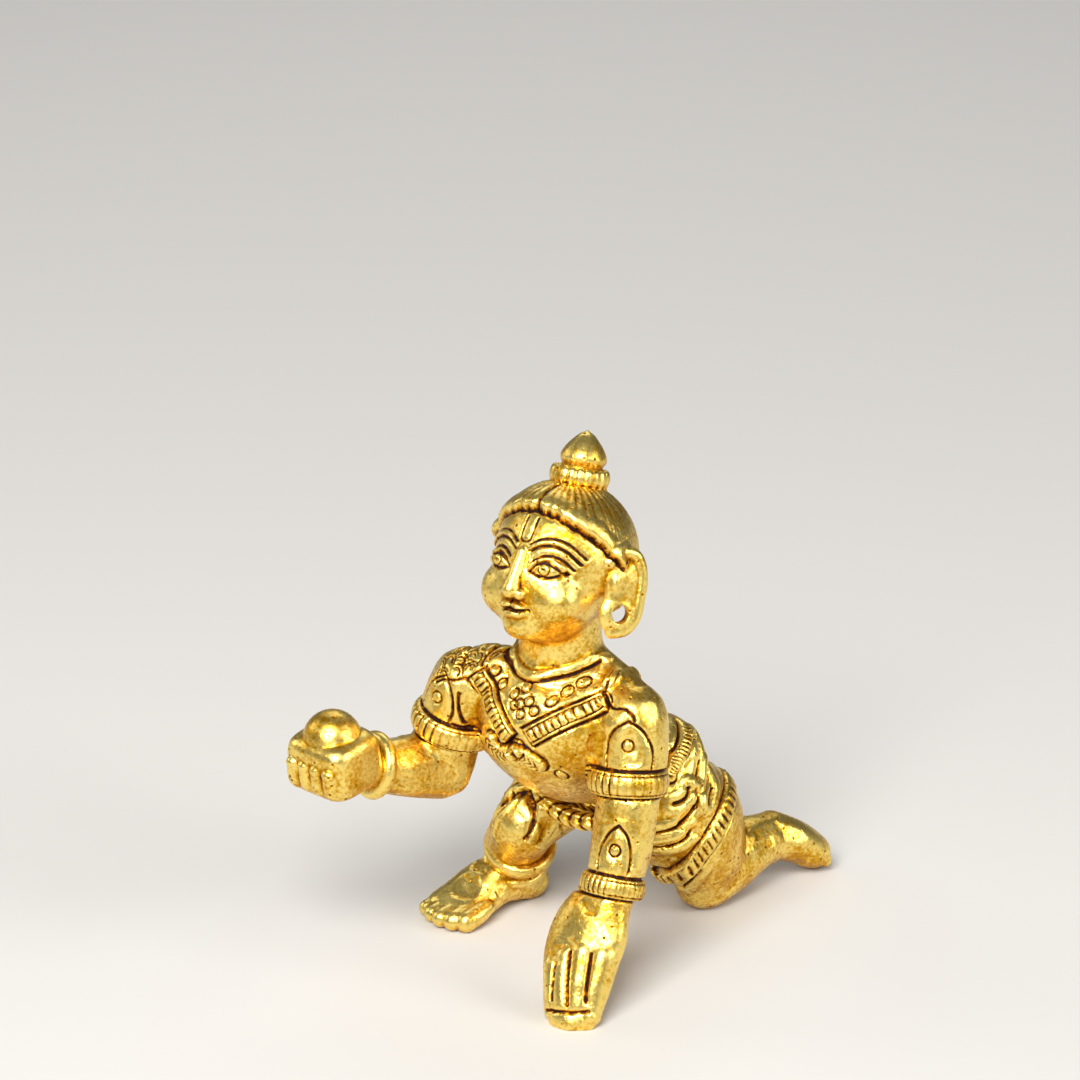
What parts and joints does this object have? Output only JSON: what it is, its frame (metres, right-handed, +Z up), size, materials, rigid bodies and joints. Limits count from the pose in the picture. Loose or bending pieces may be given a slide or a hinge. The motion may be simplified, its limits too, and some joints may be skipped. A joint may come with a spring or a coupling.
{
  "type": "laddu gopal idol",
  "caption": "Small solid brass figure of a crawling child that looks up, one hand on the ground and the other holding up a butter ball.",
  "frame": {"origin": "middle of the figure's bounding box, on the ground that it rests on", "axes": "+Z up, the figure faces -Y and its left side is +X"},
  "size_m": [0.0454, 0.0624, 0.0661],
  "materials": {
    "cast_brass": "polished high points over dark patina in the carving"
  },
  "bodies": {
    "root": {"crawling_figure": "cast_brass"}
  },
  "joints": []
}
